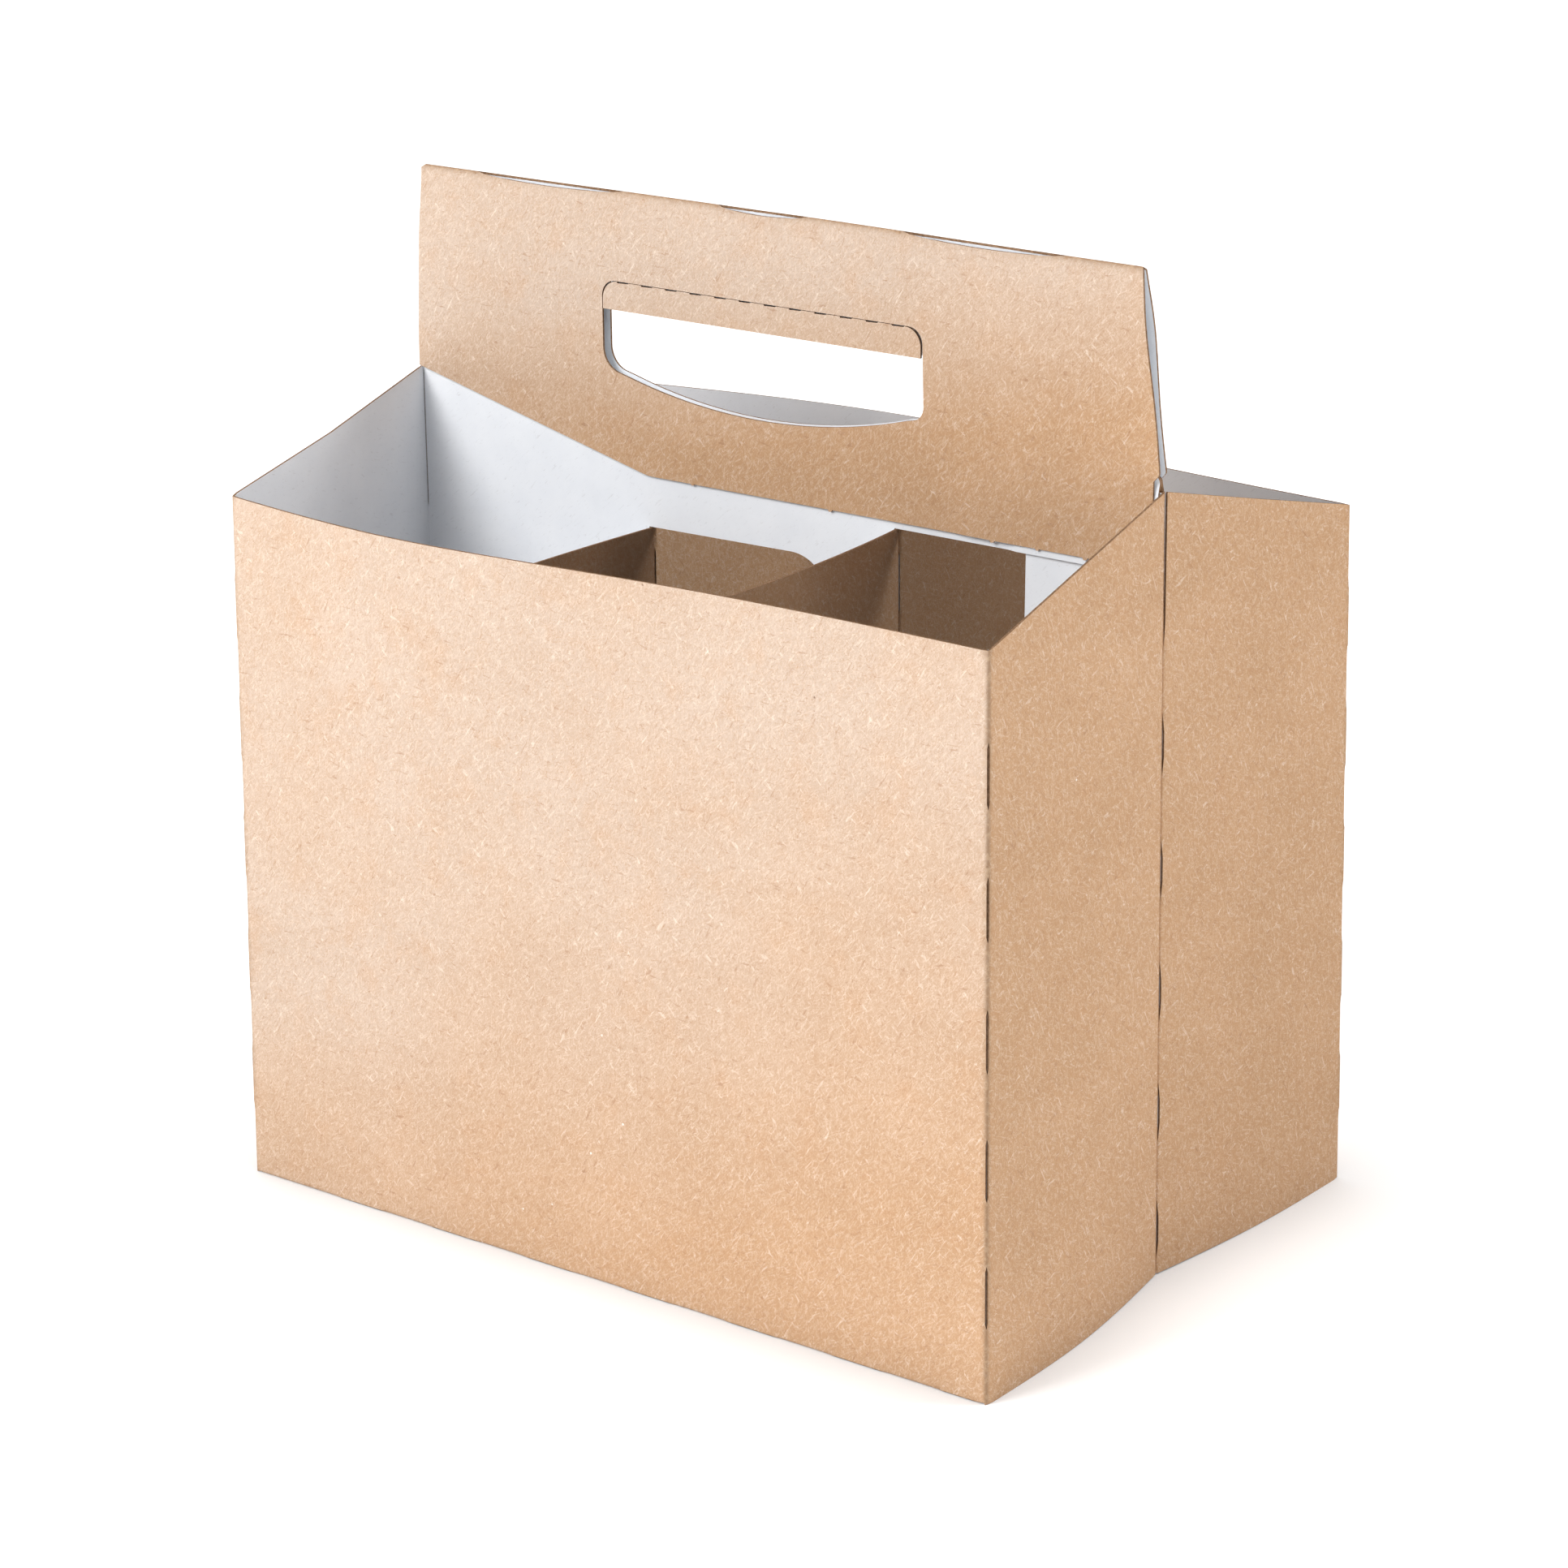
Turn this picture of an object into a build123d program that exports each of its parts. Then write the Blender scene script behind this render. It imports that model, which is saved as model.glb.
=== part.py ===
from build123d import *
import os

# Six-pack bottle carrier, folded and glued from one die-cut sheet of board.
# X runs along the front wall, Y from the front wall to the back wall, Z up.
# The origin is on the underside, midway along the centre partition.

# Board
board = 0.5

# Body
panel_length = 190.0
half_depth = 66.0
wall_height = 149.0
fold_height = 164.0

# How far each upright fold stands off the square plan, at the base and at the wall's top edge.
# Positive X is to the right, positive Y is to the back.
fold_shift = {
    "front_left": ((4.6, -1.4), (4.6, 0.8)),
    "front_right": ((6.0, -0.5), (4.9, 0.4)),
    "right_centre": ((-1.0, 3.0), (-0.5, 0.3)),
    "back_right": ((2.6, 2.5), (3.6, -3.0)),
    "back_left": ((2.6, 2.0), (3.8, -3.0)),
    "left_centre": ((-0.3, 0.4), (-0.5, 0.0)),
}

# How far the panels bow outward: the long walls at their top edge, the end walls at the base
front_bow = 5.4
back_bow = 10.0
end_bow_front = 2.2
end_bow_back = 1.4
# Shape of each bow, as share along the panel and share of the bow
front_bow_shape = ((0.12, 0.62), (0.25, 1.0), (0.43, 0.65), (0.62, 0.06))
back_bow_shape = ((0.16, 0.22), (0.38, 0.65), (0.62, 1.0), (0.86, 0.55))
end_bow_shape = ((0.5, 1.0),)

# Cuts in the upright folds: cut and uncut stretches take turns
slit_length = 12.9
slit_pitch = 25.8
slit_width = 0.4
corner_slit_top = 131.8
centre_slit_top = 119.6
corner_slits = 5
centre_slits = 5
top_slit_length = 31.5
centre_slit_width = 0.6
base_slit_start = 24.0
base_slits = 7
slit_reach = 2.0

# Centre partition: two risers, with a glue flap between them at the right end
partition_lift = 3.0
glue_flap_width = 34.0
riser_tip_height = 167.2
riser_tip_length = 34.0

# Divider straps, struck out of both risers and swung to the long walls
cells = 3
low_strap_top = 138.0
low_strap_arm_top = 112.0
low_strap_bottom = 55.0
# Reach of the tall part, and the reach at which its sloping shoulder meets the arm
low_strap_shoulder = 41.6
low_strap_slope_end = 60.9
low_strap_shoulder_radius = 10.0
low_strap_bow = -0.9
high_strap_top = 147.2
high_strap_bottom = 116.0
high_strap_bow = 1.6
strap_corner = 4.0
glue_tab = 12.0
high_strap_drift = 3.2

# Bottom panels
bottom_lap = 20.0
end_gap = 1.0

# Handle
handle_height = 207.6
handle_low_edge = 148.7
handle_knee = 62.6
handle_knee_radius = 12.0
handle_left_inset = 1.6
handle_right_inset = 6.1
handle_notch_height = 166.2
handle_notch_depth = 1.3
handle_foot_inset = 2.3
handle_corner = 1.4
# Cuts along the top fold, as distance from the left end and length
fold_cuts = ((16.4, 41.0), (81.3, 23.0), (127.0, 39.5))
fold_cut_width = 1.2

# Hand hole and the grip flap above it, measured down from the handle's top edge
hole_width = 81.8
hole_shift = -2.6
hole_drop = 18.6
hole_side_length = 18.0
hole_depth = 24.4
front_hole_corner = 3.4
# Tighter in the back ply, so that the front flap's sides pass it when both flaps are pushed in
back_hole_corner = 1.5
hole_low_radius = 4.0
grip_flap_height = 6.1
flap_slit = 0.3
flap_fold_gap = 0.15
# How much rounder the flap's corners are than the hole's, so that they turn clear of it
flap_corner_relief = 0.6

# Sizes that follow from the ones above
half_length = panel_length / 2
cell_width = panel_length / cells
hinge_low = -half_length + cell_width
hinge_high = -half_length + 2 * cell_width
riser_face = board
glued_face = 2 * board
handle_face = 3 * board
hole_top = handle_height - hole_drop
hole_corners = {-1: front_hole_corner, 1: back_hole_corner}
# A height and a reach that clear the whole part, for cutting tools
clear = 2 * (handle_height + panel_length)

square_plan = {
    "front_left": (-half_length, -half_depth),
    "front_right": (half_length, -half_depth),
    "right_centre": (half_length, 0.0),
    "back_right": (half_length, half_depth),
    "back_left": (-half_length, half_depth),
    "left_centre": (-half_length, 0.0),
}
folds = list(square_plan)
# Directions of the cuts through the corner folds and the base folds, in degrees
corner_tilt = 45
corner_directions = {
    "front_left": corner_tilt,
    "front_right": -corner_tilt,
    "back_right": corner_tilt,
    "back_left": -corner_tilt,
}


def fold_point(name, height):
    """Place of an upright fold's outer line at a height."""
    base, top = fold_shift[name]
    share = height / wall_height
    x = square_plan[name][0] + base[0] + (top[0] - base[0]) * share
    y = square_plan[name][1] + base[1] + (top[1] - base[1]) * share
    return Vector(x, y, height)


def inset_corners(corners, inset):
    """The corners of the plan after each side moves inward by the inset."""
    count = len(corners)
    sides = []
    for i in range(count):
        along = (corners[(i + 1) % count] - corners[i]).normalized()
        inward = Vector(-along.Y, along.X, 0)
        sides.append((corners[i] + inward * inset, along))
    moved = []
    for i in range(count):
        start, along = sides[i - 1]
        other, other_along = sides[i]
        gap = other - start
        turn = along.X * other_along.Y - along.Y * other_along.X
        reach = (gap.X * other_along.Y - gap.Y * other_along.X) / turn
        moved.append(start + along * reach)
    return moved


def bows_at(height):
    """Outward bow and its shape for each side of the plan, in the order of the folds."""
    high = (height / wall_height) ** 2
    low = max(0.0, 1 - height / wall_height) ** 2
    return (
        (front_bow * high, front_bow_shape),
        (end_bow_front * low, end_bow_shape),
        (end_bow_back * low, end_bow_shape),
        (back_bow * high, back_bow_shape),
        (end_bow_back * low, end_bow_shape),
        (end_bow_front * low, end_bow_shape),
    )


def plan_wire(height, inset):
    """The closed plan of the body at a height, its sides moved inward by the inset."""
    corners = inset_corners([fold_point(name, height) for name in folds], inset)
    edges = []
    for i, (bow, shape) in enumerate(bows_at(height)):
        start = corners[i]
        end = corners[(i + 1) % len(corners)]
        outward = Vector((end - start).Y, -(end - start).X, 0).normalized()
        middle = [start + (end - start) * along + outward * (bow * share) for along, share in shape]
        edges.append(Edge.make_spline([start, *middle, end]))
    return Wire(edges)


def body_block(inset, low, high):
    """The body as a filled block with its sides moved inward by the inset."""
    heights = (low, (low + high) / 2, high)
    return Solid.make_loft([plan_wire(height, inset) for height in heights])


def box_between(x, y, z):
    """A box from its limits along each axis."""
    size = Box(x[1] - x[0], y[1] - y[0], z[1] - z[0])
    return Pos((x[0] + x[1]) / 2, (y[0] + y[1]) / 2, (z[0] + z[1]) / 2) * size


def upright_plate(face, y):
    """A face drawn in X and Z, thickened between two Y planes."""
    return Pos(0, y[1], 0) * extrude(Plane.XZ * face, y[1] - y[0])


def filleted_face(points):
    """A closed face from corners given as (across, up, corner radius)."""
    corners = [(across, up) for across, up, radius in points]
    radii = [radius for across, up, radius in points]
    return make_face(FilletPolyline(*corners, radius=radii, close=True))


block_top = riser_tip_height + board
outer = body_block(0.0, 0.0, block_top)
core = body_block(board / 2, 0.0, block_top)
cavity = body_block(board, -board, block_top + board)
inner_room = body_block(glued_face, -board, block_top + board)


def make_walls():
    """The ring of long walls and half end walls, with end walls that rise to the centre folds."""
    back_edge = half_depth + fold_shift["back_right"][1][1]
    roof_line = Polyline(
        (-clear, wall_height),
        (-half_depth, wall_height),
        (0, fold_height),
        (back_edge, wall_height),
        (clear, wall_height),
        (clear, clear),
        (-clear, clear),
        close=True,
    )
    roof = Pos(-clear, 0, 0) * extrude(Plane.YZ * make_face(roof_line), 2 * clear)
    return outer - cavity - roof


def low_window():
    """Outline of the low strap in the risers: a tall part, a sloping shoulder, then an arm with the glue tab."""
    start = hinge_low
    end = start + half_depth + glue_tab
    return filleted_face((
        (start, low_strap_bottom, 0),
        (end, low_strap_bottom, strap_corner),
        (end, low_strap_arm_top, strap_corner),
        (start + low_strap_slope_end, low_strap_arm_top, strap_corner),
        (start + low_strap_shoulder, low_strap_top, low_strap_shoulder_radius),
        (start, low_strap_top, 0),
    ))


def high_window(end):
    """Outline of the high strap in the risers, from its hinge to the given end."""
    middle = (hinge_high + end) / 2
    centre = Location((middle, (high_strap_bottom + high_strap_top) / 2))
    return centre * Rectangle(end - hinge_high, high_strap_top - high_strap_bottom)


def make_partition():
    """The two risers, the glue flap between them and the windows that the straps leave."""
    right = half_length + clear
    flap_left = half_length - glue_flap_width
    tip_left = half_length - riser_tip_length
    through = (-clear, clear)
    risers = box_between((-right, right), (-riser_face, riser_face), (partition_lift, fold_height))
    slab = risers + box_between(
        (flap_left, right), (-glued_face, glued_face), (partition_lift, fold_height)
    )
    slab += box_between(
        (hinge_low, flap_left + board), (-glued_face, glued_face), (handle_low_edge + board, fold_height)
    )
    slab += box_between(
        (tip_left, right), (-glued_face, glued_face), (fold_height - board, riser_tip_height)
    )
    slab -= upright_plate(low_window(), through)
    slab -= upright_plate(high_window(flap_left), through)
    slab -= upright_plate(high_window(right), (-clear, -riser_face))
    slab -= upright_plate(high_window(right), (riser_face, clear))
    return slab & core


def make_strap(hinge, side, drift, bow, profile):
    """One strap from its hinge on the partition to a long wall; side -1 is the front."""
    overrun = half_depth + glue_tab
    end_x = hinge + drift * overrun / half_depth
    left, right = (
        ThreePointArc(
            (hinge + shift, 0),
            ((hinge + end_x) / 2 + bow + shift, side * overrun / 2),
            (end_x + shift, side * overrun),
        )
        for shift in (-board / 2, board / 2)
    )
    strip = make_face(left + right + Line(left @ 0, right @ 0) + Line(left @ 1, right @ 1))
    return extrude(strip, handle_height) & profile & core


def strap_profile(side, points):
    """A strap's side view, as a prism along X, from points given as (out, up, corner radius)."""
    face = filleted_face([(side * out, up, radius) for out, up, radius in points])
    return Pos(-clear, 0, 0) * extrude(Plane.YZ * face, 2 * clear)


def make_low_strap(side):
    """The low strap and the glue tab at the end of its arm."""
    profile = strap_profile(side, (
        (0, low_strap_bottom, 0),
        (clear, low_strap_bottom, 0),
        (clear, low_strap_arm_top, 0),
        (low_strap_slope_end, low_strap_arm_top, strap_corner),
        (low_strap_shoulder, low_strap_top, low_strap_shoulder_radius),
        (0, low_strap_top, 0),
    ))
    strap = make_strap(hinge_low, side, 0.0, low_strap_bow, profile)
    return strap + make_tab(hinge_low, side, low_strap_bottom, low_strap_arm_top)


def make_high_strap(side):
    """The high strap and its glue tab."""
    profile = strap_profile(side, (
        (0, high_strap_bottom, 0),
        (clear, high_strap_bottom, 0),
        (clear, high_strap_top, 0),
        (0, high_strap_top, 0),
    ))
    strap = make_strap(hinge_high, side, high_strap_drift, high_strap_bow, profile)
    return strap + make_tab(hinge_high + high_strap_drift, side, high_strap_bottom, high_strap_top)


def make_tab(start, side, bottom, top):
    """A glue tab that lies against a long wall's inner face and follows its bow."""
    middle = start + glue_tab / 2
    face = Location((middle, (bottom + top) / 2)) * RectangleRounded(glue_tab, top - bottom, strap_corner)
    near, far = sorted((side * half_depth / 2, side * clear))
    return (upright_plate(face, (near, far)) & core) - inner_room


def make_bottom(side, low):
    """One bottom panel, folded in under a long wall and lapped past the middle."""
    corner_names = ("front_left", "front_right") if side < 0 else ("back_left", "back_right")
    left, right = (fold_point(name, 0) for name in corner_names)
    half = Location((0, side * (clear / 2 - bottom_lap))) * Rectangle(clear, clear)
    free_panel = Face(plan_wire(0, board + end_gap)) & half
    hem = box_between(
        (left.X + board + end_gap, right.X - board - end_gap),
        sorted((left.Y, left.Y - side * (board + 2 * end_gap))),
        (low, low + board),
    )
    return Pos(0, 0, low) * extrude(free_panel, board) + (hem & core)


def hand_hole_face(corner, inset):
    """The hand hole with the flap's place above it, its sides moved inward by the inset."""
    left = hole_shift - hole_width / 2 + inset
    right = hole_shift + hole_width / 2 - inset
    side_end = hole_top - hole_side_length
    lower = ThreePointArc((left, side_end), (hole_shift, hole_top - hole_depth), (right, side_end))
    upper = FilletPolyline((right, side_end), (right, hole_top), (left, hole_top), (left, side_end), radius=corner)
    face = make_face(lower + upper)
    return fillet(face.vertices().sort_by(Axis.Y)[:2], hole_low_radius)


def handle_profile(face_y, top):
    """The folded handle's end view: two plies joined by a round fold at the top."""
    low = handle_low_edge - board
    legs = Location((0, (low + top - face_y) / 2)) * Rectangle(2 * face_y, top - face_y - low)
    return legs + Location((0, top - face_y)) * Circle(face_y)


def handle_outline():
    """The handle seen from the front."""
    left = -half_length + fold_shift["left_centre"][1][0]
    top_left = -half_length + handle_left_inset
    top_right = half_length - handle_right_inset
    foot_right = half_length - handle_foot_inset
    return filleted_face((
        (left, fold_height, 0),
        (-half_length + handle_knee, handle_low_edge, handle_knee_radius),
        (foot_right, handle_low_edge, 0),
        (foot_right, handle_notch_height, 0),
        (foot_right + handle_notch_depth, handle_notch_height + handle_notch_depth, handle_notch_depth),
        (top_right, handle_height, handle_corner),
        (top_left, handle_height, handle_corner),
    ))


def make_handle():
    """The handle's two plies, with the hand hole and the cuts along the top fold."""
    profile = handle_profile(handle_face, handle_height)
    profile -= handle_profile(glued_face, handle_height - board)
    folded = Pos(-clear, 0, 0) * extrude(Plane.YZ * profile, 2 * clear)
    handle = folded & upright_plate(handle_outline(), (-clear, clear))
    for side, corner in hole_corners.items():
        handle -= upright_plate(hand_hole_face(corner, 0.0), sorted((0.0, side * clear)))
    for start, length in fold_cuts:
        left = -half_length + start
        handle -= box_between(
            (left, left + length),
            (-fold_cut_width / 2, fold_cut_width / 2),
            (handle_height - glued_face, handle_height + board),
        )
    return handle


def make_grip_flap(side):
    """The flap in one ply above the hand hole, round along the edge that it swings about."""
    fold_radius = board / 2
    middle_y = side * (handle_face + glued_face) / 2
    top = hole_top - flap_fold_gap
    axis_height = top - fold_radius
    bottom = hole_top - grip_flap_height
    left = hole_shift - hole_width / 2 + flap_slit
    right = hole_shift + hole_width / 2 - flap_slit
    section = Location((middle_y, (bottom + axis_height) / 2)) * Rectangle(board, axis_height - bottom)
    section += Location((middle_y, axis_height)) * Circle(fold_radius)
    strip = Pos(left, 0, 0) * extrude(Plane.YZ * section, right - left)
    corner = hole_corners[side] + flap_corner_relief
    return strip & upright_plate(hand_hole_face(corner, flap_slit), (-clear, clear))


def upright_slot(name, low, high, width, angle):
    """A thin upright cut through the fold of that name, turned to face it."""
    place = fold_point(name, (low + high) / 2)
    return Pos(place.X, place.Y, place.Z) * Rot(0, 0, angle) * Box(slit_reach, width, high - low)


def make_corner_slits():
    """The cuts in the four corner folds."""
    slits = []
    for name, angle in corner_directions.items():
        for i in range(corner_slits):
            high = corner_slit_top - i * slit_pitch
            slits.append(upright_slot(name, high - slit_length, high, slit_width, angle))
    return slits


def make_centre_slits():
    """The cuts in the end walls' centre folds: a long one from the top edge, then short ones."""
    slits = []
    top = fold_height + board
    for name in ("left_centre", "right_centre"):
        slits.append(upright_slot(name, top - top_slit_length, top, centre_slit_width, 0))
        for i in range(centre_slits):
            high = centre_slit_top - i * slit_pitch
            slits.append(upright_slot(name, high - slit_length, high, centre_slit_width, 0))
    return slits


def make_base_slits():
    """The cuts in the folds between the long walls and the bottom panels."""
    slits = []
    cut = Box(slit_length, slit_reach, slit_width)
    for left, right in (("front_left", "front_right"), ("back_left", "back_right")):
        start = fold_point(left, 0)
        run = fold_point(right, 0) - start
        tilt = corner_tilt if start.Y > 0 else -corner_tilt
        for i in range(base_slits):
            along = base_slit_start + slit_length / 2 + i * slit_pitch
            place = start + run * (along / run.length)
            slits.append(Pos(place.X, place.Y, 0) * Rot(tilt, 0, 0) * cut)
    return slits


carrier = make_walls() + make_partition() + make_handle()
for side, low in ((-1, 0), (1, board)):
    carrier += make_low_strap(side)
    carrier += make_high_strap(side)
    carrier += make_bottom(side, low)
carrier -= make_corner_slits() + make_centre_slits() + make_base_slits()

parts = {
    "carrier": carrier,
    "grip_flap_front": make_grip_flap(-1),
    "grip_flap_back": make_grip_flap(1),
}
os.makedirs("parts", exist_ok=True)
for name, shape in parts.items():
    export_step(shape, f"parts/{name}.step")
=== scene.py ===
import math

import bpy
import numpy as np
from mathutils import Matrix, Vector, kdtree
from mathutils.geometry import delaunay_2d_cdt


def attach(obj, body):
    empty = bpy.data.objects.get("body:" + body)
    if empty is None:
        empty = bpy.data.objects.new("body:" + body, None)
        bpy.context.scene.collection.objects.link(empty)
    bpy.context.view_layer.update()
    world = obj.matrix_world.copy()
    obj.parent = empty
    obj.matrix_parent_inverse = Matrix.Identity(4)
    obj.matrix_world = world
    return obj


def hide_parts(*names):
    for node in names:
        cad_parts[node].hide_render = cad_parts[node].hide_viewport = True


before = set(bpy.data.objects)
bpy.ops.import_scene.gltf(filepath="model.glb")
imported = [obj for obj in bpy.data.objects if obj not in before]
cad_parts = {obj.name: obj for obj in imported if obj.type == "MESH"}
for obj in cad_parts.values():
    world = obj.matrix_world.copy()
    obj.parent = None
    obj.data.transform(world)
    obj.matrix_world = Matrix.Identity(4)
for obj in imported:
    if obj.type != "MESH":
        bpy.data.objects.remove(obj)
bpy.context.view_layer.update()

# A six-pack carrier, folded and glued from one sheet of kraft board, brown outside and white inside.
# Lengths are in millimetres in the frame of the part and become metres when a mesh is made.
# X runs along the front wall, Y from the front wall to the back wall, Z up.
MM = 0.001

# Board and body
BOARD = 0.5
PANEL = 190.0
HALF_DEPTH = 66.0
WALL_TOP = 149.0
FOLD_TOP = 164.0
GLUE_GAP = 0.03
# How far each upright fold stands off the square plan, at the base and at the wall's top edge
FOLD_SHIFT = {
    "front_left": ((4.6, -1.4), (4.6, 0.8)),
    "front_right": ((6.0, -0.5), (4.9, 0.4)),
    "right_centre": ((-1.0, 3.0), (-0.5, 0.3)),
    "back_right": ((2.6, 2.5), (3.6, -3.0)),
    "back_left": ((2.6, 2.0), (3.8, -3.0)),
    "left_centre": ((-0.3, 0.4), (-0.5, 0.0)),
}
SQUARE_PLAN = {
    "front_left": complex(-PANEL / 2, -HALF_DEPTH),
    "front_right": complex(PANEL / 2, -HALF_DEPTH),
    "right_centre": complex(PANEL / 2, 0),
    "back_right": complex(PANEL / 2, HALF_DEPTH),
    "back_left": complex(-PANEL / 2, HALF_DEPTH),
    "left_centre": complex(-PANEL / 2, 0),
}
# Outward bow of the long walls at their top edge and of the end walls at the base
FRONT_BOW = 5.37
BACK_BOW = 9.98
END_BOW_FRONT = 2.2
END_BOW_BACK = 1.4
FRONT_BOW_SHAPE = ((0, 0), (0.12, 0.62), (0.25, 1.0), (0.43, 0.65), (0.62, 0.06), (1, 0))
BACK_BOW_SHAPE = ((0, 0), (0.16, 0.22), (0.38, 0.65), (0.62, 1.0), (0.86, 0.55), (1, 0))
END_BOW_SHAPE = ((0, 0), (0.5, 1.0), (1, 0))

# Folds and the cuts in them
CORNER_ROUND = 1.3
CORNER_ROUND_AT_CUT = 0.65
CENTRE_ROUND = 0.7
BASE_ROUND = 1.1
BASE_ROUND_AT_CUT = 0.65
STRAP_ROUND = 0.7
CUT_LENGTH = 12.9
CUT_PITCH = 25.8
CUT_TAPER = 1.2
# Length over which a fold tightens at the end of a cut
CUT_EASE = 2.4
CORNER_CUT_TOP = 131.8
CENTRE_CUT_TOP = 119.6
TOP_CUT = 31.5
CUT_COUNT = 5
CUT_WIDTH = 0.85
BASE_CUT_START = 24.0
BASE_CUT_WIDTH = 0.4
BASE_CUTS = 7
# Width, taper and lean of the cuts in the right centre fold, in the front and the back sheet
RIGHT_CENTRE_CUT = {-1: (0.3, 1.2, 0.85), 1: (0.62, 4.0, 0.85)}
# How far the right centre fold's top cut opens at its upper end and further down
TOP_CUT_OPENING = {-1: (0.15, 0.10), 1: (0.70, 0.45)}
TOP_CUT_NARROW = 6.0
# Thin cuts on both sides of the left centre fold, at its top end
LEFT_TOP_CUT_SHIFT = 0.55
LEFT_TOP_CUT_WIDTH = 0.22
LEFT_TOP_CUT_END = 0.6

# Centre partition
LIFT = 3.0
FLAP_LEFT = 61.0
RISER_END = 93.6
TIP_TOP = 167.2
# Lengths over which a riser settles beside its fold and steps out over the glue flap
RISER_SETTLE = 12.0
RISER_STEP = 3.0
STEP_TOP_EASE = 1.2

# Divider straps
LOW_HINGE = -PANEL / 6
HIGH_HINGE = PANEL / 6
LOW_STRAP = {"bottom": 55.0, "arm_top": 112.0, "top": 138.0, "drift": 0.0, "bow": -0.9}
HIGH_STRAP = {"bottom": 116.0, "top": 147.2, "drift": 3.2, "bow": 1.6}
LOW_SHOULDER = 41.6
LOW_SLOPE_END = 60.9
SHOULDER_RADIUS = 10.0
STRAP_CORNER = 4.0
GLUE_TAB = 12.0
HINGE_LEAD = 4.0
STRAP_CUT_START = 5.0
STRAP_CUT_MARGIN = 2.0
STRAP_CUT_WIDTH = 0.34
# Painted shade: how much darker the brown of each strap is, at its hinge and beyond
STRAP_PAINTED_SHADE = {"low_strap_front": (0.75, 0.66), "high_strap_front": (0.50, 0.45),
               "low_strap_back": (0.06, 0.0), "high_strap_back": (0.52, 0.44)}
SHADE_START = 4.0
SHADE_LENGTH = 30.0

# Bottom panels
BOTTOM_REACH = 86.0
BOTTOM_INSET = 1.6
# Where the back panel climbs onto the front one, and over what length
OVERLAP_START = 28.0
OVERLAP_EASE = 12.0

# Reach of the rubbed brown beside the corner folds and the top fold
WORN_CORNER = 0.65
WORN_TOP = 1.1

# Outline of the folded sheet: relief cuts at the base, and the sag of the front end walls' top edge
RELIEF_NEAR = 0.6
RELIEF_FAR = 1.0
RELIEF_TOP = 0.3
END_SAG = 0.9
END_SAG_RADIUS = 30.0

# Handle
HANDLE_TOP = 207.6
HANDLE_LOW = 148.7
# Where the slope from the left fold meets the lower edge, and the rounding there
HANDLE_SLOPE_END = 62.6
HANDLE_SLOPE_RADIUS = 12.0
# Right edge: how far its foot, its step and its top end stand in, and the step's heights
HANDLE_RIGHT = {"foot": 2.3, "step": 1.0, "top": 6.1}
HANDLE_STEP = (166.2, 167.5)
HANDLE_LEFT_TOP = 1.6
PLY_FACE = 1.5
PLY_SETTLE = 16.0
# How much closer the plies lie where they are glued, from which drop, and where that ends to the right
GLUED_DOWN = 0.38
GLUED_DROP = 34.0
GLUED_DROP_EASE = 12.0
GLUED_RIGHT = 44.0
GLUED_RIGHT_EASE = 8.0
# Dip of the right end of the top edge, and the lengths over which it grows and dies out
RIGHT_DIP = 0.6
DIP_LENGTH = 90.0
DIP_DEPTH = 14.0
TOP_FOLD_RADIUS = 0.75
# Where a ply's outer face lies at the handle's right edge, for drops below the top fold
EDGE_GAPE = ((0, 0.75), (4, 1.2), (8, 1.62), (12, 1.8), (16, 1.72), (21, 1.42), (26, 1.16),
             (31, 1.12), (36, 1.25), (41, 1.5), (60, 1.5))
GAPE_START = 48.0
GAPE_LENGTH = 44.0
# Nicks left by the die in the handle's lower edge: place, width and depth
NICKS = ((-20.5, 0.9, 0.3), (15.1, 1.1, 0.45), (55.3, 1.2, 0.45), (66.1, 1.0, 0.35), (77.3, 1.3, 0.5))
# Cuts along the top fold: start and length, and how far they open to the front and to the back
RIDGE_CUTS = ((16.4, 41.0), (81.3, 23.0), (127.0, 39.5))
RIDGE_CUT_FRONT = 1.4
RIDGE_CUT_BACK = 0.4
RIDGE_CUT_POINTS = 16
RIDGE_CUT_BLUNTNESS = 0.45
HOLE_WIDTH = 81.8
HOLE_SHIFT = -2.6
HOLE_TOP = 189.0
HOLE_SIDE_END = 171.0
# How far the hole's lower corners lie below that, left and right, and out to the right
HOLE_LOW_DROP = (0.4, 0.3)
HOLE_LOW_LEAN = 0.35
HOLE_BOTTOM = 164.6
HOLE_CORNER = {-1: 3.4, 1: 1.5}
HOLE_LOW_LEFT = 5.2
HOLE_LOW_RIGHT = 3.0
HOLE_ARC_POINTS = 40

# Grip flaps: the slot round them keeps them clear of the ply when they swing
FLAP_HEIGHT = 6.1
FLAP_GAP_TOP = 0.12
FLAP_GAP_LEFT = 0.2
FLAP_GAP_RIGHT = 0.34
FLAP_TAPER = 0.1
FLAP_CORNER_EXTRA = 0.4
DASHES = 12
DASH_LENGTH = 3.1
DASH_WIDTH = 0.26
DASH_START = 0.25
DASH_END = 0.55

# Meshing: longest steps along outlines and cuts, and the step of the grid inside a sheet
SHEET_STEP = 2.2
WINDOW_STEP = 1.6
HOLE_STEP = 1.4
CUT_STEP = 1.2
RIDGE_CUT_STEP = 1.5
ARC_STEP = 0.6
FLAP_ARC_STEP = 0.5
SHEET_GRID = 2.6
HANDLE_GRID = 2.4
STRAP_GRID = 2.2
FLAP_GRID = (1.6, 1.2)
NORMAL_STEP = 0.02
SHARP_ANGLE = math.radians(42)
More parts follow.
